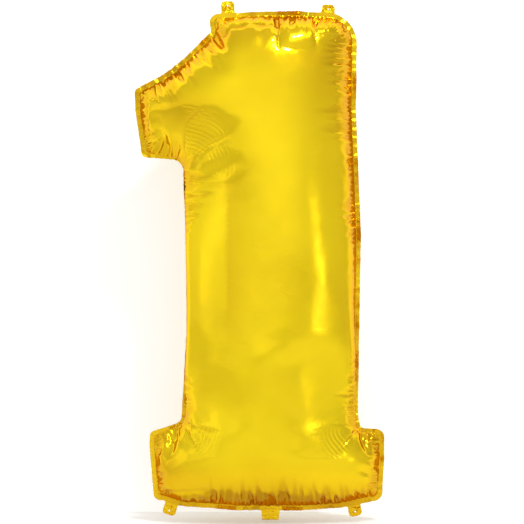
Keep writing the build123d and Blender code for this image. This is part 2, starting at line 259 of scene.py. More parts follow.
# ---------------------------------------------------------------- filling the balloon
def inflate():
    """Two flat films welded along the seam are filled by a cloth simulation while the weld draws in to its filled line.
    Returns for each skin its flat points, its filled points."""
    m = int(round(CUT_CUM[-1] / S_RIM))
    s = np.arange(m) * CUT_CUM[-1] / m
    rimf = at_length(C, CUT_CUM, s)
    rimt = np.stack([np.interp(s, CUT_CUM, np.append(T[:, k], T[0, k])) for k in (0, 1)], 1)
    lo, hi = rimf.min(0), rimf.max(0)

    def points(seed):
        rng = np.random.default_rng(seed)
        out = []
        for d0, d1, sp in [(0.62 * S_RIM, 0.05, S_RIM), (0.05, 0.08, (S_RIM + S_MID) / 2), (0.08, 9, S_MID)]:
            xs = np.arange(lo[0], hi[0], sp)
            zs = np.arange(lo[1], hi[1], sp * 0.866)
            X, Z = np.meshgrid(xs, zs)
            X = X + (np.arange(len(zs)) % 2)[:, None] * sp / 2
            p = np.stack([X.ravel(), Z.ravel()], 1) + rng.uniform(-0.2, 0.2, (X.size, 2)) * sp
            p = p[in_poly(p, rimf)]
            dd = seg_dist(p, rimf)
            out.append(p[(dd >= d0) & (dd < d1)])
        return np.vstack(out)

    def tri(pts):
        allp = np.vstack([rimf, pts])
        r = delaunay_2d_cdt([Vector((float(a), float(b))) for a, b in allp], [], [list(range(m))], 1, 1e-8)
        return allp, np.array([o[0] for o in r[3]])[np.array([f for f in r[2]])]

    P1, F1 = tri(points(11))
    P2, F2 = tri(points(12))
    n1 = len(P1)
    flat = np.vstack([P1, P2[m:]])
    dist = seg_dist(flat, rimf)
    sgn = np.concatenate([-np.ones(n1), np.ones(len(P2) - m)])
    sgn[:m] = 0
    V = np.stack([flat[:, 0], sgn * np.minimum(dist * 0.15, 0.006), flat[:, 1]], 1)

    def orient(F, sg):
        a, b, c = V[F[:, 0]], V[F[:, 1]], V[F[:, 2]]
        return F if np.cross(b - a, c - a)[:, 1].sum() * sg > 0 else F[:, ::-1]

    F = np.vstack([orient(F1, -1), orient(np.where(F2 >= m, F2 + n1 - m, F2), 1)])
    tgt = V.copy()
    tgt[:m, 0], tgt[:m, 2] = rimt[:, 0], rimt[:, 1]
    me = bpy.data.meshes.new("filling")
    me.from_pydata(V.tolist(), [], F.tolist())
    me.update()
    ob = bpy.data.objects.new("filling", me)
    sc = bpy.context.scene
    sc.collection.objects.link(ob)
    bpy.context.view_layer.objects.active = ob
    ob.shape_key_add(name="Basis")
    k = ob.shape_key_add(name="drawn_in")
    k.data.foreach_set("co", tgt.astype(np.float32).ravel())
    k.value = 0.0
    k.keyframe_insert("value", frame=1)
    k.value = 1.0
    k.keyframe_insert("value", frame=RAMP)
    vg = ob.vertex_groups.new(name="pin")
    vg.add(list(range(m)), 1.0, "REPLACE")
    c = ob.modifiers.new("Cloth", "CLOTH")
    st = c.settings
    st.quality, st.mass = 5, 0.02
    st.tension_stiffness, st.compression_stiffness, st.shear_stiffness, st.bending_stiffness = 80, 20, 20, 0.05
    st.tension_damping = st.compression_damping = st.shear_damping = 5
    st.bending_damping, st.air_damping = 0.5, 5
    st.use_pressure, st.uniform_pressure_force = True, 100
    st.vertex_group_mass, st.pin_stiffness = "pin", 1
    st.effector_weights.gravity = 0.0
    c.collision_settings.use_collision = False
    frames = SIM_FRAMES
    c.point_cache.frame_start, c.point_cache.frame_end = 1, frames
    for f in range(1, frames + 1):
        sc.frame_set(f)
    e = ob.evaluated_get(bpy.context.evaluated_depsgraph_get())
    mm = e.to_mesh()
    co = np.zeros(len(mm.vertices) * 3, np.float32)
    mm.vertices.foreach_get("co", co)
    co = co.reshape(-1, 3).astype(float)
    e.to_mesh_clear()
    act = me.shape_keys.animation_data.action if me.shape_keys.animation_data else None
    bpy.data.objects.remove(ob)
    bpy.data.meshes.remove(me)
    if act is not None:
        bpy.data.actions.remove(act)
    sc.frame_set(1)
    front = np.arange(n1)
    rear = np.concatenate([np.arange(m), np.arange(n1, len(flat))])
    return [(flat[front], co[front]), (flat[rear], co[rear])]


SKINS = inflate()

# ---------------------------------------------------------------- seam gathers
# where the gathers are strongest: x, z, radius of influence, strength, reach into the film (m)
ZONES = [
    (-0.175, 0.785, 0.050, 1.45, 0.105), (-0.115, 0.835, 0.050, 1.50, 0.112),
    (0.066, 0.880, 0.036, 1.70, 0.112), (-0.04, 0.88, 0.05, 0.40, 0.030), (0.125, 0.88, 0.03, 0.9, 0.060),
    (0.160, 0.800, 0.060, 1.45, 0.128), (0.160, 0.700, 0.060, 1.45, 0.130), (0.166, 0.610, 0.04, 0.7, 0.055), (0.166, 0.525, 0.035, 1.45, 0.118),
    (0.172, 0.36, 0.10, 0.6, 0.040),
    (-0.040, 0.022, 0.045, 1.50, 0.112), (0.045, 0.020, 0.045, 1.55, 0.116), (0.10, 0.022, 0.04, 1.40, 0.100),
    (0.15, 0.03, 0.03, 1.3, 0.070), (-0.130, 0.030, 0.040, 0.9, 0.050),
    (-0.195, 0.650, 0.040, 1.2, 0.080), (-0.215, 0.715, 0.03, 1.0, 0.050),
    (-0.135, 0.570, 0.050, 1.40, 0.125), (-0.130, 0.40, 0.08, 0.4, 0.026), (-0.130, 0.200, 0.040, 1.15, 0.080), (-0.16, 0.16, 0.03, 1.2, 0.070),
    (0.172, 0.220, 0.050, 1.35, 0.112), (0.195, 0.160, 0.025, 1.2, 0.070),
    (-0.19, 0.09, 0.04, 0.9, 0.050), (0.21, 0.09, 0.05, 1.0, 0.056),
]
PLEAT = 0.0074
AMPLITUDE = 0.0019


def pleat_table():
    """one gather after another round the seam: place along it, depth, reach, lean and side"""
    rng = np.random.default_rng(5)
    s, out = 0.0, []
    while s < SEAM_LEN - 0.6 * PLEAT:
        p = at_length(SEAM, SEAM_CUM, np.array([s]))[0]
        strength, reach, total = 0.7, 0.028, 1.0
        for x, z, rad, st, re in ZONES:
            w = 6 * math.exp(-((p[0] - x) ** 2 + (p[1] - z) ** 2) / rad ** 2)
            strength, reach, total = strength + w * st, reach + w * re, total + w
        strength, reach = strength / total, reach / total
        long = rng.random() < 0.34
        out.append((s, strength * rng.uniform(0.7, 1.25), reach * rng.uniform(0.62, 1.0) * (1.10 if long else 0.95),
                    rng.normal(0, 0.05), 1 if len(out) % 2 else -1))
        s += PLEAT * rng.uniform(0.72, 1.28)
    return np.array(out)


PLEATS = pleat_table()


def near_tab(x, z):
    """1 on the stretch of edge that a tab or the tail hangs from, 0 away from it"""
    w = np.zeros(len(x))
    for o, u, out, _, _ in TABS.values():
        a = np.abs((x - o[0]) * u[0] + (z - o[1]) * u[1])
        b = np.abs((x - o[0]) * out[0] + (z - o[1]) * out[1])
        w = np.maximum(w, np.clip((TAB_W / 2 + 0.005 - a) / 0.005, 0, 1) * np.clip((0.013 - b) / 0.004, 0, 1))
    w = np.maximum(w, 0.85 * np.clip((TAIL_W / 2 + 0.005 - np.abs(x - TAIL_X)) / 0.005, 0, 1) * np.clip((0.026 - z) / 0.004, 0, 1))
    return w


def gathers(s, d, side):
    """height of the gathers along the outward normal at length s of the seam, d metres in from it; side -1 front, 1 rear"""
    h = np.zeros(len(s))
    ps = PLEATS[:, 0]
    n = len(ps)
    i0 = np.searchsorted(ps, s) - 1
    w = 0.0040 * (1 + d / 0.25)
    for k in (-1, 0, 1, 2):
        i = (i0 + k) % n
        lean = PLEATS[i, 3] * (1 if side < 0 else -1)
        delta = (s - ps[i] - lean * d + SEAM_LEN / 2) % SEAM_LEN - SEAM_LEN / 2
        reach = PLEATS[i, 2] * (1.0 if side < 0 else 0.9)
        q = np.clip((1 - d / reach) / 0.55, 0, 1)
        f = q * q * (3 - 2 * q) * np.minimum(1, 0.50 + d / 0.020)
        h -= PLEATS[i, 1] * f * np.clip(np.cos(np.clip(delta / w, -1, 1) * math.pi / 2), 0, 1) ** 1.3
    return h * AMPLITUDE


def seam_wave(s):
    """how the welded line itself weaves fore and aft"""
    ps = PLEATS[:, 0]
    n = len(ps)
    i = (np.searchsorted(ps, s) - 1) % n
    nxt = np.where(i + 1 < n, ps[(i + 1) % n], SEAM_LEN)
    f = np.clip((s - ps[i]) / np.maximum(nxt - ps[i], 1e-4), 0, 1)
    return PLEATS[i, 4] * np.sin(math.pi * f) * PLEATS[i, 1]


# folds that run in from the seam's inner corners: x0, z0, x1, z1, depth, half width (m)
FOLDS = [
    (-0.131, 0.615, -0.126, 0.688, 0.0034, 0.0034), (-0.126, 0.688, -0.095, 0.714, 0.0028, 0.0030),
    (-0.131, 0.615, -0.088, 0.650, 0.0034, 0.0030), (-0.088, 0.650, -0.048, 0.668, 0.0028, 0.0030),
    (-0.134, 0.171, -0.103, 0.126, 0.0034, 0.0032), (-0.134, 0.171, -0.068, 0.159, 0.0030, 0.0032),
    (-0.154, 0.154, -0.152, 0.132, 0.0024, 0.0030),
    (0.172, 0.164, 0.135, 0.126, 0.0036, 0.0034), (0.172, 0.164, 0.124, 0.172, 0.0018, 0.0030),
    (0.032, 0.884, 0.034, 0.812, 0.0044, 0.0036), (0.097, 0.882, 0.096, 0.822, 0.0044, 0.0036),
    (0.034, 0.820, 0.066, 0.811, 0.0012, 0.0040),
    (-0.065, 0.838, -0.048, 0.853, 0.0034, 0.0030), (-0.048, 0.853, -0.014, 0.859, 0.0034, 0.0030), (-0.014, 0.859, 0.030, 0.857, 0.0034, 0.0030),
    (0.098, 0.840, 0.144, 0.842, 0.0028, 0.0032), (0.144, 0.866, 0.168, 0.816, 0.0030, 0.0032),
    (-0.092, 0.850, -0.056, 0.812, 0.0048, 0.0036), (-0.205, 0.737, -0.100, 0.812, 0.0014, 0.0050),
    (-0.082, 0.022, -0.083, 0.085, 0.0030, 0.0032), (-0.0035, 0.020, -0.003, 0.080, 0.0030, 0.0032),
    (0.043, 0.020, 0.043, 0.085, 0.0032, 0.0032), (0.112, 0.020, 0.110, 0.074, 0.0026, 0.0032),
    (-0.178, 0.051, -0.086, 0.058, 0.0024, 0.0036), (0.135, 0.030, 0.118, 0.066, 0.0022, 0.0030),
    (-0.196, 0.745, -0.193, 0.636, 0.0034, 0.0034), (-0.215, 0.722, -0.193, 0.690, 0.0022, 0.0030),
]


# fine pleats that run round an inner corner: x, z, first and last radius, middle angle and half angle (degrees), height
RINGS = [
    (-0.131, 0.612, 0.030, 0.112, 62.0, 30.0, 0.00055), (-0.131, 0.612, 0.042, 0.095, 8.0, 22.0, 0.00040),
    (-0.134, 0.171, 0.026, 0.074, -32.0, 34.0, 0.00050), (0.173, 0.164, 0.026, 0.078, 205.0, 36.0, 0.00055),
    (-0.160, 0.650, 0.022, 0.060, 165.0, 40.0, 0.00040),
]
# pillows between folds: x, z, half width, half height, height
PILLOWS = [
    (0.0655, 0.846, 0.033, 0.030, 0.0042), (-0.030, 0.868, 0.060, 0.012, 0.0022), (0.121, 0.852, 0.022, 0.016, 0.0022),
    (-0.148, 0.800, 0.050, 0.018, 0.0014),
]


def folds(x, z, side):
    h = np.zeros(len(x))
    for cx, cz, r0, r1, mid, half, height in RINGS:
        r = np.hypot(x - cx, z - cz)
        an = (np.degrees(np.arctan2(z - cz, x - cx)) - mid + 180) % 360 - 180
        wr = np.clip((r - r0) / 0.010, 0, 1) * np.clip((r1 - r) / 0.025, 0, 1)
        wa = np.clip((half - np.abs(an)) / 14, 0, 1)
        h += height * wr * wa * np.cos(2 * math.pi * (r + 0.0015 * np.sin(an / 9)) / 0.0068)
    for cx, cz, hx, hz, height in PILLOWS:
        q = ((x - cx) / hx) ** 2
        p = ((z - cz) / hz) ** 2
        h += height * np.clip(1 - q ** 1.5, 0, 1) * np.clip(1 - p, 0, 1) * (1.0 if side < 0 else 0.7)
    for x0, z0, x1, z1, depth, half in FOLDS:
        d = np.array([x1 - x0, z1 - z0])
        L2 = d @ d
        t = ((x - x0) * d[0] + (z - z0) * d[1]) / L2
        tc = np.clip(t, 0, 1)
        r = np.hypot(x - x0 - tc * d[0], z - z0 - tc * d[1])
        fade = np.clip(np.sin(math.pi * np.clip(tc * 0.86 + 0.12, 0, 1)), 0, 1) ** 0.8
        g = np.exp(-np.sqrt(r ** 2 + 0.0006 ** 2) / half) - 0.35 * np.exp(-(r / (2.6 * half)) ** 2)
        h -= depth * fade * g * (1.0 if side < 0 else 0.8)
    return h


# ---------------------------------------------------------------- the two skins
COLS = int(round(SEAM_LEN / 0.0016))
ROWS = [0.0011, 0.0025, 0.0042, 0.0063, 0.0088, 0.0118, 0.0152, 0.0190, 0.0232, 0.0278, 0.0327, 0.0378, 0.0431, 0.0486, 0.0543, 0.0602, 0.0663, 0.0726, 0.0790, 0.0855, 0.0920, 0.0990, 0.1060, 0.1130, 0.1200]
EDGE_ROWS = [0.0, 0.10, 0.24, 0.40, 0.56, 0.72, 0.87, 1.0]
col_s = np.arange(COLS) * SEAM_LEN / COLS
col_flat = np.stack([np.interp(col_s * M / SEAM_LEN, np.arange(M + 1), np.append(C[:, k], C[0, k])) for k in (0, 1)], 1)
for _ in range(6):
    col_flat = (np.roll(col_flat, 1, 0) + 2 * col_flat + np.roll(col_flat, -1, 0)) / 4
col_seam = at_length(SEAM, SEAM_CUM, col_s)
FLAT_IN = left_normal(col_flat, 4)
SEAM_OUT = -left_normal(col_seam, 3)


def film_points():
    """points of one skin on the flat film: the seam first, then rows along it, then an even field"""
    pts = []
    for k, d in enumerate(ROWS):
        p = col_flat + FLAT_IN * d
        gap = 0.0009
        ok = in_poly(p, col_flat) & (seg_dist(p, col_flat) > 0.93 * d)
        p = p[ok]
        keep, last = [], []
        for q in p.tolist():
            if all((q[0] - r[0]) ** 2 + (q[1] - r[1]) ** 2 > gap * gap for r in last):
                keep.append(q)
                last = (last + [q])[-4:]
        pts.append(np.array(keep))
    lo, hi = col_flat.min(0), col_flat.max(0)
    sp = 0.0052
    xs = np.arange(lo[0], hi[0], sp)
    zs = np.arange(lo[1], hi[1], sp * 0.866)
    X, Z = np.meshgrid(xs, zs)
    X = X + (np.arange(len(zs)) % 2)[:, None] * sp / 2
    p = np.stack([X.ravel(), Z.ravel()], 1)
    p = p[in_poly(p, col_flat)]
    p = p[seg_dist(p, col_flat[::3]) > ROWS[-1] + 0.0035]
    pts.append(p)
    # a fine field where the small folds and ring pleats are
    sf, sc_ = SKINS[0]
    x, z = sc_[:, 0], sc_[:, 2]
    flag = np.zeros(len(sf), bool)
    for cx, cz, r0, r1, mid, half, _ in RINGS:
        r = np.hypot(x - cx, z - cz)
        an = (np.degrees(np.arctan2(z - cz, x - cx)) - mid + 180) % 360 - 180
        flag |= (r > r0 - 0.004) & (r < r1 + 0.004) & (np.abs(an) < half + 4)
    for x0, z0, x1, z1, _, half in FOLDS:
        dv = np.array([x1 - x0, z1 - z0])
        t = np.clip(((x - x0) * dv[0] + (z - z0) * dv[1]) / (dv @ dv), 0, 1)
        flag |= np.hypot(x - x0 - t * dv[0], z - z0 - t * dv[1]) < 0.010
    tree = kdtree.KDTree(len(sf))
    for i, (a_, b_) in enumerate(sf):
        tree.insert((float(a_), float(b_), 0), i)
    tree.balance()
    sp = 0.0018
    xs = np.arange(lo[0], hi[0], sp)
    zs = np.arange(lo[1], hi[1], sp * 0.866)
    X, Z = np.meshgrid(xs, zs)
    X = X + (np.arange(len(zs)) % 2)[:, None] * sp / 2
    p = np.stack([X.ravel(), Z.ravel()], 1)
    boxes = np.floor(sf[flag] / 0.02).astype(int)
    keys = set()
    for dx in (-1, 0, 1):
        for dz in (-1, 0, 1):
            keys |= set(map(tuple, boxes + [dx, dz]))
    near = np.array([tuple(k) in keys for k in np.floor(p / 0.02).astype(int)])
    p = p[near]
    p = p[np.array([flag[tree.find((float(a_), float(b_), 0))[1]] for a_, b_ in p])]
    p = p[in_poly(p, col_flat)]
    p = p[seg_dist(p, col_flat[::2]) > 0.030]
    fine = kdtree.KDTree(len(p))
    for i, (a_, b_) in enumerate(p):
        fine.insert((float(a_), float(b_), 0), i)
    fine.balance()
    rest = np.vstack(pts)
    far = np.array([fine.find((float(a_), float(b_), 0))[2] > 0.0011 for a_, b_ in rest])
    pts = np.vstack([rest[far], p])
    # no two points closer than a hair
    cell = np.floor(pts / 0.0006).astype(int)
    _, first = np.unique(cell, axis=0, return_index=True)
    return pts[np.sort(first)]


FILM = film_points()
ALLP = np.vstack([col_flat, FILM])
_r = delaunay_2d_cdt([Vector((float(a), float(b))) for a, b in ALLP], [], [list(range(COLS))], 1, 1e-9)
FILM_F = np.array([o[0] for o in _r[3]])[np.array([f for f in _r[2]])]
_a, _b, _c = ALLP[FILM_F[:, 0]], ALLP[FILM_F[:, 1]], ALLP[FILM_F[:, 2]]
_ar = (_b[:, 0] - _a[:, 0]) * (_c[:, 1] - _a[:, 1]) - (_b[:, 1] - _a[:, 1]) * (_c[:, 0] - _a[:, 0])
FILM_F = np.where((_ar < 0)[:, None], FILM_F[:, ::-1], FILM_F)[np.abs(_ar) > 1e-13]
# nearest place on the seam for every film point
_tree = kdtree.KDTree(COLS)
for _i, (_x, _z) in enumerate(col_flat):
    _tree.insert((_x, _z, 0), _i)
_tree.balance()
_near = [_tree.find((float(x), float(z), 0)) for x, z in FILM]
FILM_COL = np.array([q[1] for q in _near])
FILM_D = np.array([q[2] for q in _near])


def filled(flat, co):
    """each film point's place on the filled skin: a local quadratic fit to the simulated points"""
    tree = kdtree.KDTree(len(flat))
    for i, (x, z) in enumerate(flat):
        tree.insert((float(x), float(z), 0), i)
    tree.balance()
    K = 26
    idx = np.zeros((len(FILM), K), int)
    for i, (x, z) in enumerate(FILM):
        idx[i] = [q[1] for q in tree.find_n((float(x), float(z), 0), K)]
    rel = flat[idx] - FILM[:, None, :]
    r = np.linalg.norm(rel, axis=2)
    h = np.sort(r, axis=1)[:, 13] + 1e-6
    w = np.exp(-(r / h[:, None]) ** 2)
    q = rel / h[:, None, None]
    A = np.stack([np.ones_like(r), q[..., 0], q[..., 1], q[..., 0] ** 2, q[..., 0] * q[..., 1], q[..., 1] ** 2], 2)
    AtW = np.swapaxes(A, 1, 2) * w[:, None, :]
    N = AtW @ A + 1e-4 * np.eye(6)[None] * np.array([0, 1, 1, 3, 3, 3])[None, :, None]
    B = AtW @ co[idx]
    return np.linalg.solve(N, B)[:, 0, :]


# painted shade: darker patches painted into the film colour where the studio reflects darker, not the film's own
# colour: x, z, half width, half height, share
PAINTED_SHADE_SPOTS = [
    (-0.150, 0.712, 0.055, 0.030, 0.38), (-0.100, 0.700, 0.060, 0.045, 0.22), (0.118, 0.775, 0.048, 0.070, 0.45), (0.158, 0.62, 0.02, 0.20, 0.30),
    (-0.130, 0.085, 0.060, 0.035, 0.40), (-0.165, 0.080, 0.03, 0.05, 0.3), (0.000, 0.055, 0.140, 0.026, 0.25),
    (-0.020, 0.845, 0.09, 0.03, 0.45), (0.06, 0.80, 0.08, 0.02, 0.25),
]


def painted_shade_spots(x, z):
    # painted shade and painted dark reflections, summed over the patches and the band
    t = np.zeros(len(x))
    for cx, cz, hx, hz, share in PAINTED_SHADE_SPOTS:
        t += share * np.exp(-((x - cx) / hx) ** 2 - ((z - cz) / hz) ** 2)
    # painted dark reflection: a long soft-edged band down the left of the stem
    e = np.clip((x + 0.0585) / 0.005, 0, 1)
    t += 0.45 * e * e * (3 - 2 * e) * np.exp(-np.clip(x + 0.056, 0, 1) / 0.024) * np.clip((z - 0.30) / 0.10, 0, 1) * np.clip((0.63 - z) / 0.06, 0, 1)
    return t


# where the filled skin is drawn smoother than the simulation leaves it: x, z, radius, share
CALM = [(0.085, 0.225, 0.115, 1.0), (-0.070, 0.660, 0.060, 0.55), (0.150, 0.62, 0.26, 0.6), (-0.08, 0.22, 0.07, 0.5), (0.0, 0.45, 0.30, 0.5)]


def calm(flat, co):
    """evens out the broad wrinkles there, the seam held"""
    K = 9
    tree = kdtree.KDTree(len(flat))
    for i, (x, z) in enumerate(flat):
        tree.insert((float(x), float(z), 0), i)
    tree.balance()
    idx = np.array([[q[1] for q in tree.find_n((float(x), float(z), 0), K)] for x, z in flat])
    free = np.clip((seg_dist(flat, col_flat[::2]) - 0.012) / 0.03, 0, 1)[:, None]
    sm = co.copy()
    for _ in range(60):
        sm = sm + 0.6 * free * (sm[idx].mean(1) - sm)
    # the smoothing draws the crown in a little; give that height back
    w = np.zeros(len(flat))
    for x, z, r, share in CALM:
        w = np.maximum(w, share * np.clip(1.25 - 1.25 * (np.hypot(co[:, 0] - x, co[:, 2] - z) / r) ** 2, 0, 1))
    return co + np.minimum(w, 1)[:, None] * (sm - co)


def skin(name, side, flat, co, mats):
    P = filled(flat, calm(flat, co))
    rim = np.stack([col_seam[:, 0], np.zeros(COLS), col_seam[:, 1]], 1)
    V = np.vstack([rim, P])
    # the fit meets the exact seam line over the first few millimetres
    d = np.concatenate([np.zeros(COLS), FILM_D])
    col = np.concatenate([np.arange(COLS), FILM_COL])
    F = FILM_F if side < 0 else FILM_F[:, ::-1]
    a, b, c = V[F[:, 0]], V[F[:, 1]], V[F[:, 2]]
    fn = np.cross(b - a, c - a)
    if fn[:, 1].sum() * side < 0:
        F, fn = F[:, ::-1], -fn

    def normals(V):
        a, b, c = V[F[:, 0]], V[F[:, 1]], V[F[:, 2]]
        fn = np.cross(b - a, c - a)
        n = np.stack([np.bincount(F.ravel(), np.repeat(fn[:, k], 3), len(V)) for k in range(3)], 1)
        return n / np.maximum(np.linalg.norm(n, axis=1), 1e-12)[:, None]

    n = normals(V)
    # smooth the normals so that gathers stand square to the broad surface
    E = np.unique(np.sort(np.vstack([F[:, [0, 1]], F[:, [1, 2]], F[:, [2, 0]]]), axis=1), axis=0)
    deg = np.bincount(E.ravel(), minlength=len(V))[:, None] + 1
    for _ in range(6):
        acc = n.copy()
        for k in range(3):
            acc[:, k] += np.bincount(E[:, 0], n[E[:, 1], k], len(V)) + np.bincount(E[:, 1], n[E[:, 0], k], len(V))
        n = acc / deg
    n /= np.maximum(np.linalg.norm(n, axis=1), 1e-12)[:, None]
    s = col_s[col]
    tab = near_tab(V[:, 0], V[:, 2])
    h = gathers(s, d, side) * np.minimum(1, d / 0.0012)
    h += folds(V[:, 0], V[:, 2], side) * np.minimum(1, d / 0.004)
    V = V + n * h[:, None]
    wave = 0.0007 * seam_wave(s) * np.exp(-d / 0.004) * (1 - tab)
    V[:, 1] += wave
    # keep each skin on its own side of the weld
    V[COLS:, 1] = side * np.maximum(V[COLS:, 1] * side, -0.0006 + 0.10 * d[COLS:])
    V[:COLS, 1] += side * 0.00012
    # the heat-sealed edge outside the seam: gathered, with a scalloped cut edge
    rows = [np.arange(COLS)]
    extra = []
    base = len(V)
    tabc = near_tab(col_seam[:, 0] + SEAM_OUT[:, 0] * FLANGE, col_seam[:, 1] + SEAM_OUT[:, 1] * FLANGE)
    sw = seam_wave(col_s)
    slow = smooth_noise(col_s, 21, SEAM_LEN, 0.021)
    slow2 = smooth_noise(col_s, 22, SEAM_LEN, 0.009)
    lean = smooth_noise(col_s, 23, SEAM_LEN, 0.05)
    scal = 1 - (0.055 * (1 - np.abs(sw) / 1.2) + 0.05 * (0.5 + 0.5 * slow2) + 0.04 * (0.5 + 0.5 * slow)) * (1 - tabc)
    for v in EDGE_ROWS[1:]:
        w = FLANGE * v * (1 + (scal - 1) * v)
        y = (1 - tabc) * (0.0007 * sw * (1 + 0.5 * v) + (0.0022 * slow + 0.0012 * slow2 + 0.0026 * lean) * v ** 1.2)
        y += side * (0.00012 - 0.00002 * v)
        q = np.stack([col_seam[:, 0] + SEAM_OUT[:, 0] * w, y, col_seam[:, 1] + SEAM_OUT[:, 1] * w], 1)
        if v == 1.0:
            # reach out to each tab's fold line
            for o, u, out, _, _ in TABS.values():
                a = (q[:, 0] - o[0]) * u[0] + (q[:, 2] - o[1]) * u[1]
                b = (q[:, 0] - o[0]) * out[0] + (q[:, 2] - o[1]) * out[1]
                near = (np.abs(a) < TAB_W / 2) & (np.abs(b) < 0.003)
                q[near, 0] -= out[0] * b[near]
                q[near, 2] -= out[1] * b[near]
        extra.append(q)
        rows.append(base + np.arange(COLS) + (len(extra) - 1) * COLS)
    V = np.vstack([V] + extra)
    quads = []
    for r0, r1 in zip(rows[:-1], rows[1:]):
        q = np.stack([r0, r1, np.roll(r1, -1), np.roll(r0, -1)], 1)
        quads.append(q)
    quads = np.vstack(quads)
    a, b, c = V[quads[:, 0]], V[quads[:, 1]], V[quads[:, 2]]
    if np.cross(b - a, c - a)[:, 1].sum() * side < 0:
        quads = quads[:, ::-1]
    me = bpy.data.meshes.new(name)
    me.from_pydata(V.tolist(), [], F.tolist() + quads.tolist())
    me.update()
    # painted shade and painted dark reflections: the film colour is darkened next to the seam, more towards the right
    # side, in the gather valleys and at the painted patches; the foil itself is one even colour
    crease_shade = np.clip(-h / 0.0014, 0, 1)
    shade = np.clip(0.50 + 0.55 * V[:len(d), 0] / 0.17, 0.30, 1.0)
    painted_shade = 0.50 * np.exp(-(d / 0.016) ** 1.5) + 0.55 * shade * np.exp(-(d / 0.060) ** 2) + 0.40 * crease_shade
    painted_shade += painted_shade_spots(V[:len(d), 0], V[:len(d), 2])
    painted_shade = np.concatenate([np.clip(painted_shade, 0, 1), np.ones(len(extra) * COLS)])
    at = me.attributes.new("painted_shade", "FLOAT", "POINT")
    at.data.foreach_set("value", painted_shade.astype(np.float32))
    for m in mats:
        me.materials.append(m)
    mi = np.zeros(len(me.polygons), np.int32)
    mi[len(F):] = 1
    me.polygons.foreach_set("material_index", mi)
    me.polygons.foreach_set("use_smooth", np.ones(len(me.polygons), bool))
    ob = bpy.data.objects.new(name, me)
    bpy.context.scene.collection.objects.link(ob)
    return ob


# ---------------------------------------------------------------- tabs and tail
def film_piece(name, outline, holes, place, spacing, thickness, mats):
    """a small piece of sealed film: a flat outline with holes, put in place by place(a, b) -> x, y, z"""
    pts = [np.array(outline)]
    loops = [list(range(len(outline)))]
    for hc, hr in holes:
        k = 28
        an = np.arange(k) * 2 * math.pi / k
        loops.append(list(range(sum(map(len, pts)), sum(map(len, pts)) + k)))
        pts.append(np.array([hc]) + hr * np.stack([np.cos(an), np.sin(an)], 1))
    edge = np.vstack(pts)
    lo, hi = edge.min(0), edge.max(0)
    X, Y = np.meshgrid(np.arange(lo[0], hi[0], spacing), np.arange(lo[1], hi[1], spacing))
    X = X + (np.arange(X.shape[0]) % 2)[:, None] * spacing / 2
    p = np.stack([X.ravel(), Y.ravel()], 1)
    p = p[in_poly(p, pts[0])]
    p = p[seg_dist(p, pts[0]) > 0.5 * spacing]
    for hc, hr in holes:
        p = p[np.linalg.norm(p - np.array(hc), axis=1) > hr + 0.4 * spacing]
    allp = np.vstack([edge, p])
    r = delaunay_2d_cdt([Vector((float(a), float(b))) for a, b in allp], [], loops, 1, 1e-9)
    F = np.array([o[0] for o in r[3]])[np.array([f for f in r[2]])]
    cen = allp[F].mean(1)
    for hc, hr in holes:
        F = F[np.linalg.norm(cen - np.array(hc), axis=1) > hr * 0.98]
        cen = allp[F].mean(1)
    V = place(allp[:, 0], allp[:, 1])
    me = bpy.data.meshes.new(name)
    me.from_pydata(V.tolist(), [], F.tolist())
    me.update()
    for m in mats:
        me.materials.append(m)
    me.polygons.foreach_set("use_smooth", np.ones(len(me.polygons), bool))
    ob = bpy.data.objects.new(name, me)
    bpy.context.scene.collection.objects.link(ob)
    so = ob.modifiers.new("film", "SOLIDIFY")
    so.thickness, so.offset, so.use_even_offset = thickness, 0.0, False
    return ob


def hash_noise(x, y, seed, cell):
    """2-D smooth noise in -1..1"""
    rng = np.random.default_rng(seed)
    tab = rng.uniform(-1, 1, (64, 64))
    X, Y = x / cell + 31.3, y / cell + 17.7
    i, j = np.floor(X).astype(int), np.floor(Y).astype(int)
    f, g = X - i, Y - j
    f, g = f * f * (3 - 2 * f), g * g * (3 - 2 * g)
    t = lambda a, b: tab[a % 64, b % 64]
    return (t(i, j) * (1 - f) + t(i + 1, j) * f) * (1 - g) + (t(i, j + 1) * (1 - f) + t(i + 1, j + 1) * f) * g


def tab_outline(w, L, r, back):
    """root edge along a, running out along b, with rounded free corners"""
    pts = []
    step = 0.0009
    for b in np.arange(-back, L - r, step):
        pts.append((w / 2, b))
    for t in np.linspace(0, math.pi / 2, 12):
        pts.append((w / 2 - r + r * math.cos(t), L - r + r * math.sin(t)))
    n = int((w - 2 * r) / step)
    for k in range(1, n):
        pts.append((w / 2 - r - k * (w - 2 * r) / n, L))
    for t in np.linspace(math.pi / 2, math.pi, 12):
        pts.append((-w / 2 + r + r * math.cos(t), L - r + r * math.sin(t)))
    for b in np.arange(L - r - step, -back, -step):
        pts.append((-w / 2, b))
    pts.append((-w / 2, -back))
    n = int(w / step)
    for k in range(1, n):
        pts.append((-w / 2 + k * w / n, -back))
    return pts


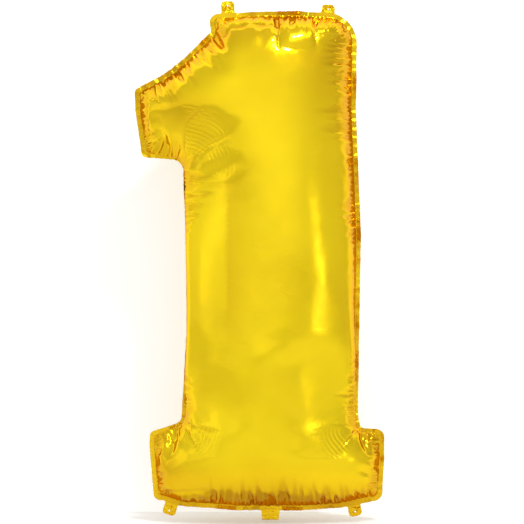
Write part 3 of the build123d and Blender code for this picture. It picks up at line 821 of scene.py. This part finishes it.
def make_tab(name, o, u, out, L, hole, seed, mats):
    back = 0.0022
    ol = tab_outline(TAB_W - 0.0008, L - 0.0003, 0.0068, back)

    def place(a, b):
        k = np.clip(b / 0.004, 0, 1)
        k = k * k * (3 - 2 * k)
        # pinched in a little where it leaves the edge, then crumpled
        y = 0.0018 * hash_noise(a, b, seed, 0.0060) + 0.0014 * (1 - 2 * np.abs(hash_noise(a, b, seed + 1, 0.0045))) + 0.0005 * hash_noise(a, b, seed + 2, 0.0020)
        y += 0.0009 * np.cos(a / 0.0031 + seed) * np.exp(-b / 0.008)
        y += 0.0012 * (a / 0.012) ** 2 * (1 if seed % 2 else -1)
        y = 0.0026 * np.tanh(y * k / 0.0026)
        aa = a * (1 - 0.05 * k * np.exp(-b / 0.006)) + 0.0003 * hash_noise(a, b, seed + 5, 0.004) * k
        bb = b - 0.0006 * k * (0.5 + 0.5 * hash_noise(a, b, seed + 6, 0.003))
        return np.stack([o[0] + u[0] * aa + out[0] * bb, y, o[1] + u[1] * aa + out[1] * bb], 1)

    ob = film_piece(name, ol, [((0.0, hole), 0.0015)], place, 0.0009, 0.00016, mats)
    return ob


def make_tail(name, side, mats):
    w, top, back = TAIL_W - 0.0012, TAIL_TOP, 0.0025
    ol = []
    step = 0.0009
    nb = int((top - 0.0006) / step)
    for k in range(nb + 1):
        ol.append((w / 2, -back + (top + back - 0.0006) * k / nb))
    n = int(w / step)
    for k in range(1, n):
        ol.append((w / 2 - k * w / n, top - 0.0006))
    for k in range(nb + 1):
        ol.append((-w / 2, top - 0.0006 - (top + back - 0.0006) * k / nb))
    for k in range(1, n):
        ol.append((-w / 2 + k * w / n, -back))

    def place(a, b):
        # a across, b down from the edge; gathered pleats run down it, and the channel is slightly open
        k = np.clip(b / 0.003, 0, 1)
        k = k * k * (3 - 2 * k)
        e = np.clip((w / 2 - np.abs(a)) / 0.0055, 0, 1)
        y = side * (0.00035 + 0.00085 * e * k)
        pl = 0.0006 * np.cos(a / 0.00105 + 0.7 * side) * (0.4 + 0.6 * np.exp(-b / 0.010)) + 0.00035 * hash_noise(a, b * 0.4, 71 + side, 0.0028)
        y = y + pl * k * (0.4 + 0.6 * e) * 0.55
        y = side * np.maximum(side * y, 0.00012)
        aa = a * (1 - 0.10 * np.clip(b / top, 0, 1))
        bb = b - k * 0.0007 * (0.5 + 0.5 * hash_noise(a, b, 75, 0.004))
        return np.stack([TAIL_X + aa, y, top - bb], 1)

    return film_piece(name, ol, [], place, 0.0009, 0.00012, mats)


# ---------------------------------------------------------------- materials
def foil(name, light, dark, rough, fine, coarse, coat, seed, painted_shade_colour=None):
    m = bpy.data.materials.new(name)
    m.use_nodes = True
    nt = m.node_tree
    p = nt.nodes["Principled BSDF"]
    p.inputs["Metallic"].default_value = 1.0
    p.inputs["Coat Weight"].default_value = coat
    p.inputs["Coat Roughness"].default_value = 0.08
    p.inputs["Coat IOR"].default_value = 1.5
    p.inputs["Specular Tint"].default_value = (0.95, 0.62, 0.22, 1)
    tc = nt.nodes.new("ShaderNodeTexCoord")
    mp = nt.nodes.new("ShaderNodeMapping")
    mp.inputs["Location"].default_value = (seed * 0.37, seed * 0.11, seed * 0.23)
    nt.links.new(tc.outputs["Object"], mp.inputs["Vector"])

    def noise(scale, detail, rgh=0.5, distort=0.0):
        n = nt.nodes.new("ShaderNodeTexNoise")
        n.inputs["Scale"].default_value = scale
        n.inputs["Detail"].default_value = detail
        n.inputs["Roughness"].default_value = rgh
        n.inputs["Distortion"].default_value = distort
        nt.links.new(mp.outputs["Vector"], n.inputs["Vector"])
        return n

    big = noise(7.0, 3.0)
    ramp = nt.nodes.new("ShaderNodeValToRGB")
    ramp.color_ramp.elements[0].position, ramp.color_ramp.elements[1].position = 0.33, 0.66
    ramp.color_ramp.elements[0].color, ramp.color_ramp.elements[1].color = (*dark, 1), (*light, 1)
    nt.links.new(big.outputs["Fac"], ramp.inputs["Fac"])
    if painted_shade_colour is not None:
        # painted shade: the mesh attribute multiplies the base colour toward a darker amber where shade and dark
        # reflections are painted
        at = nt.nodes.new("ShaderNodeAttribute")
        at.attribute_name = "painted_shade"
        mix = nt.nodes.new("ShaderNodeMix")
        mix.data_type, mix.blend_type = "RGBA", "MULTIPLY"
        nt.links.new(at.outputs["Fac"], mix.inputs[0])
        nt.links.new(ramp.outputs["Color"], mix.inputs[6])
        mix.inputs[7].default_value = (*painted_shade_colour, 1)
        nt.links.new(mix.outputs[2], p.inputs["Base Color"])
    else:
        nt.links.new(ramp.outputs["Color"], p.inputs["Base Color"])
    mid = noise(38.0, 4.0)
    mr = nt.nodes.new("ShaderNodeMapRange")
    mr.inputs["From Min"].default_value, mr.inputs["From Max"].default_value = 0.3, 0.7
    mr.inputs["To Min"].default_value, mr.inputs["To Max"].default_value = rough
    nt.links.new(mid.outputs["Fac"], mr.inputs["Value"])
    nt.links.new(mr.outputs["Result"], p.inputs["Roughness"])
    # crinkle: long soft dents, then the fine grain of rolled film
    n1 = noise(coarse[0], 2.0, 0.5, 0.6)
    n2 = noise(fine[0], 3.0, 0.6, 0.2)
    b1 = nt.nodes.new("ShaderNodeBump")
    b1.inputs["Strength"].default_value, b1.inputs["Distance"].default_value = coarse[1], 0.004
    nt.links.new(n1.outputs["Fac"], b1.inputs["Height"])
    b2 = nt.nodes.new("ShaderNodeBump")
    b2.inputs["Strength"].default_value, b2.inputs["Distance"].default_value = fine[1], 0.0008
    nt.links.new(n2.outputs["Fac"], b2.inputs["Height"])
    nt.links.new(b1.outputs["Normal"], b2.inputs["Normal"])
    nt.links.new(b2.outputs["Normal"], p.inputs["Normal"])
    return m


#                               light                 dark                  roughness     fine          coarse       coat seed painted shade colour
GOLD_ARGS = ((0.935, 0.685, 0.006), (0.885, 0.62, 0.005), (0.16, 0.23), (420.0, 0.08), (26.0, 0.05), 0.18, 1, (0.74, 0.58, 0.42))
SEALED_ARGS = ((0.84, 0.55, 0.010), (0.62, 0.34, 0.006), (0.22, 0.32), (520.0, 0.20), (150.0, 0.20), 0.08, 2)
CRUMPLED_ARGS = ((0.90, 0.60, 0.010), (0.72, 0.42, 0.006), (0.20, 0.32), (520.0, 0.20), (190.0, 0.35), 0.10, 3)


def valve_film(name):
    m = bpy.data.materials.new(name)
    m.use_nodes = True
    nt = m.node_tree
    p = nt.nodes["Principled BSDF"]
    p.inputs["Roughness"].default_value = 0.28
    p.inputs["IOR"].default_value = 1.5
    p.inputs["Alpha"].default_value = 0.6
    tc = nt.nodes.new("ShaderNodeTexCoord")
    n = nt.nodes.new("ShaderNodeTexNoise")
    n.inputs["Scale"].default_value, n.inputs["Detail"].default_value = 60.0, 3.0
    nt.links.new(tc.outputs["Object"], n.inputs["Vector"])
    ramp = nt.nodes.new("ShaderNodeValToRGB")
    ramp.color_ramp.elements[0].color = (0.80, 0.81, 0.80, 1)
    ramp.color_ramp.elements[1].color = (0.90, 0.91, 0.90, 1)
    nt.links.new(n.outputs["Fac"], ramp.inputs["Fac"])
    nt.links.new(ramp.outputs["Color"], p.inputs["Base Color"])
    b = nt.nodes.new("ShaderNodeBump")
    b.inputs["Strength"].default_value, b.inputs["Distance"].default_value = 0.2, 0.0006
    nt.links.new(n.outputs["Fac"], b.inputs["Height"])
    nt.links.new(b.outputs["Normal"], p.inputs["Normal"])
    return m


GOLD = foil("gold_film", *GOLD_ARGS)
SEALED = foil("gold_film_sealed", *SEALED_ARGS)
CRUMPLED = foil("gold_film_crumpled", *CRUMPLED_ARGS)
VALVE = valve_film("valve_polyethylene")

# ---------------------------------------------------------------- put together
(front_flat, front_co), (rear_flat, rear_co) = SKINS
front = skin("front_skin", -1, front_flat, front_co, [GOLD, SEALED])
rear = skin("rear_skin", 1, rear_flat, rear_co, [GOLD, SEALED])
for ob, node in ((front, "front_foil_panel"), (rear, "rear_foil_panel")):
    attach(ob, "envelope")
    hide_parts(node)

for i, (key, (o, u, out, L, hole)) in enumerate(TABS.items()):
    t = make_tab("tab_film_" + key, o, u, out, L, hole, 31 + 7 * i, [CRUMPLED])
    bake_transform(t)
    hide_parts("hanging_tab_" + key)
for side, key in ((-1, "front"), (1, "rear")):
    t = make_tail("tail_film_" + key, side, [CRUMPLED])
    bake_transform(t)
    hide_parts("inflation_tail_" + key)
for key in ("front", "rear"):
    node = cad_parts["valve_film_" + key]
    node.data.materials.clear()
    node.data.materials.append(VALVE)

# ---------------------------------------------------------------- stage, lights, camera
def plain(name, color, backdrop=False):
    m = bpy.data.materials.new(name)
    m.use_nodes = True
    nt = m.node_tree
    p = nt.nodes["Principled BSDF"]
    p.inputs["Base Color"].default_value = (*color, 1)
    p.inputs["Roughness"].default_value = 0.9
    p.inputs["Specular IOR Level"].default_value = 0.1
    if not backdrop:
        # painted light: the floor glows and is painted lighter beside the backdrop, darker further out in front
        tc = nt.nodes.new("ShaderNodeTexCoord")
        sx = nt.nodes.new("ShaderNodeSeparateXYZ")
        nt.links.new(tc.outputs["Object"], sx.inputs["Vector"])
        for name, far, near in (("Emission Strength", 0.12, 0.24), ("Base Color", 0.66, color[0])):
            mr = nt.nodes.new("ShaderNodeMapRange")
            mr.interpolation_type = "SMOOTHSTEP"
            mr.inputs["From Min"].default_value, mr.inputs["From Max"].default_value = -0.26, -0.05
            mr.inputs["To Min"].default_value, mr.inputs["To Max"].default_value = far, near
            nt.links.new(sx.outputs["Y"], mr.inputs["Value"])
            nt.links.new(mr.outputs["Result"], p.inputs[name])
        p.inputs["Emission Color"].default_value = (1, 1, 1, 1)
    if backdrop:
        p.inputs["Emission Color"].default_value = (1, 1, 1, 1)
        p.inputs["Emission Strength"].default_value = 0.50
        # painted shade: the backdrop glows, and its glow is painted to fall off to the right, as if away from the light
        tc = nt.nodes.new("ShaderNodeTexCoord")
        sx = nt.nodes.new("ShaderNodeSeparateXYZ")
        mr = nt.nodes.new("ShaderNodeMapRange")
        mr.interpolation_type = "SMOOTHSTEP"
        mr.inputs["From Min"].default_value, mr.inputs["From Max"].default_value = 0.48, 1.10
        mr.inputs["To Min"].default_value, mr.inputs["To Max"].default_value = 0.50, 0.04
        nt.links.new(tc.outputs["Object"], sx.inputs["Vector"])
        nt.links.new(sx.outputs["X"], mr.inputs["Value"])
        nt.links.new(mr.outputs["Result"], p.inputs["Emission Strength"])
        # the backdrop shows only from the front, so that the back can be looked at
        g = nt.nodes.new("ShaderNodeNewGeometry")
        tr = nt.nodes.new("ShaderNodeBsdfTransparent")
        mix = nt.nodes.new("ShaderNodeMixShader")
        nt.links.new(g.outputs["Backfacing"], mix.inputs["Fac"])
        nt.links.new(p.outputs["BSDF"], mix.inputs[1])
        nt.links.new(tr.outputs["BSDF"], mix.inputs[2])
        nt.links.new(mix.outputs["Shader"], nt.nodes["Material Output"].inputs["Surface"])
    return m


def plane(name, corners, mat):
    me = bpy.data.meshes.new(name)
    me.from_pydata(corners, [], [tuple(range(len(corners)))])
    me.materials.append(mat)
    ob = bpy.data.objects.new(name, me)
    bpy.context.scene.collection.objects.link(ob)
    return ob


WORLD, RIGHT_DIM, LEFT_LIFT, LOW_DIM, HIGH_LIFT = 1.11, 0.32, -0.17, 0.40, -0.26
plane("floor", [(-6, -6, -0.002), (6, -6, -0.002), (6, 6, -0.002), (-6, 6, -0.002)], plain("floor_pale", (0.70, 0.70, 0.70)))
WALL_Y = 0.150
plane("backdrop", [(-1.6, WALL_Y, -0.0015), (1.6, WALL_Y, -0.0015), (1.6, WALL_Y, 2.2), (-1.6, WALL_Y, 2.2)], plain("backdrop_pale", (0.62, 0.62, 0.62), True))

world = bpy.data.worlds.new("studio")
bpy.context.scene.world = world
world.use_nodes = True
wt = world.node_tree


def wmath(op, a, b=None):
    n = wt.nodes.new("ShaderNodeMath")
    n.operation = op
    for k, v in enumerate((a, b)):
        if v is None:
            continue
        if isinstance(v, (int, float)):
            n.inputs[k].default_value = v
        else:
            wt.links.new(v, n.inputs[k])
    return n.outputs[0]


def wstep(v, lo, hi, to):
    n = wt.nodes.new("ShaderNodeMapRange")
    n.interpolation_type = "SMOOTHSTEP"
    n.inputs["From Min"].default_value, n.inputs["From Max"].default_value = lo, hi
    n.inputs["To Min"].default_value, n.inputs["To Max"].default_value = 0.0, to
    wt.links.new(v, n.inputs["Value"])
    return n.outputs["Result"]


_tc = wt.nodes.new("ShaderNodeTexCoord")
_sx = wt.nodes.new("ShaderNodeSeparateXYZ")
wt.links.new(_tc.outputs["Generated"], _sx.inputs["Vector"])
_right = wstep(_sx.outputs["X"], 0.05, 0.95, RIGHT_DIM)
_left = wstep(wmath("MULTIPLY", _sx.outputs["X"], -1.0), 0.1, 0.95, LEFT_LIFT)
_low = wstep(wmath("MULTIPLY", _sx.outputs["Z"], -1.0), 0.05, 0.9, LOW_DIM)
_high = wstep(_sx.outputs["Z"], 0.1, 0.9, HIGH_LIFT)
_v = wmath("ADD", wmath("ADD", wmath("SUBTRACT", wmath("SUBTRACT", WORLD, _right), _low), _high), _left)
wt.links.new(_v, wt.nodes["Background"].inputs["Strength"])
wt.nodes["Background"].inputs["Color"].default_value = (1, 1, 1, 1)


def soft_light(name, at, aim, size, power, color=(1, 1, 1)):
    l = bpy.data.lights.new(name, "AREA")
    l.shape, l.size, l.size_y, l.energy, l.color = "RECTANGLE", size[0], size[1], power, color
    o = bpy.data.objects.new(name, l)
    o.location = at
    o.rotation_euler = (Vector(aim) - Vector(at)).to_track_quat("-Z", "Y").to_euler()
    bpy.context.scene.collection.objects.link(o)
    return o


soft_light("key", (0.62, -1.15, 2.45), (0.08, 0, 0.83), (0.26, 0.20), 30)
soft_light("left", (-2.6, -1.25, 0.9), (0, 0, 0.45), (0.5, 1.3), 0.6)
soft_light("right", (2.3, -1.9, 0.2), (0, 0, 0.30), (0.5, 0.8), 1.5)
soft_light("back", (1.0, 2.4, 1.6), (0, 0, 0.45), (1.2, 1.2), 12)

cam = bpy.data.cameras.new("camera")
cam.sensor_width = 36.0
cam.lens = 36.0 * 4.0 / 0.912
cam.clip_end = 50
camera = bpy.data.objects.new("camera", cam)
camera.location = (0.0046, -4.0, 0.4494)
camera.rotation_euler = (math.radians(90), 0, 0)
bpy.context.scene.collection.objects.link(camera)
bpy.context.scene.camera = camera
bpy.context.scene.view_settings.view_transform = "Standard"
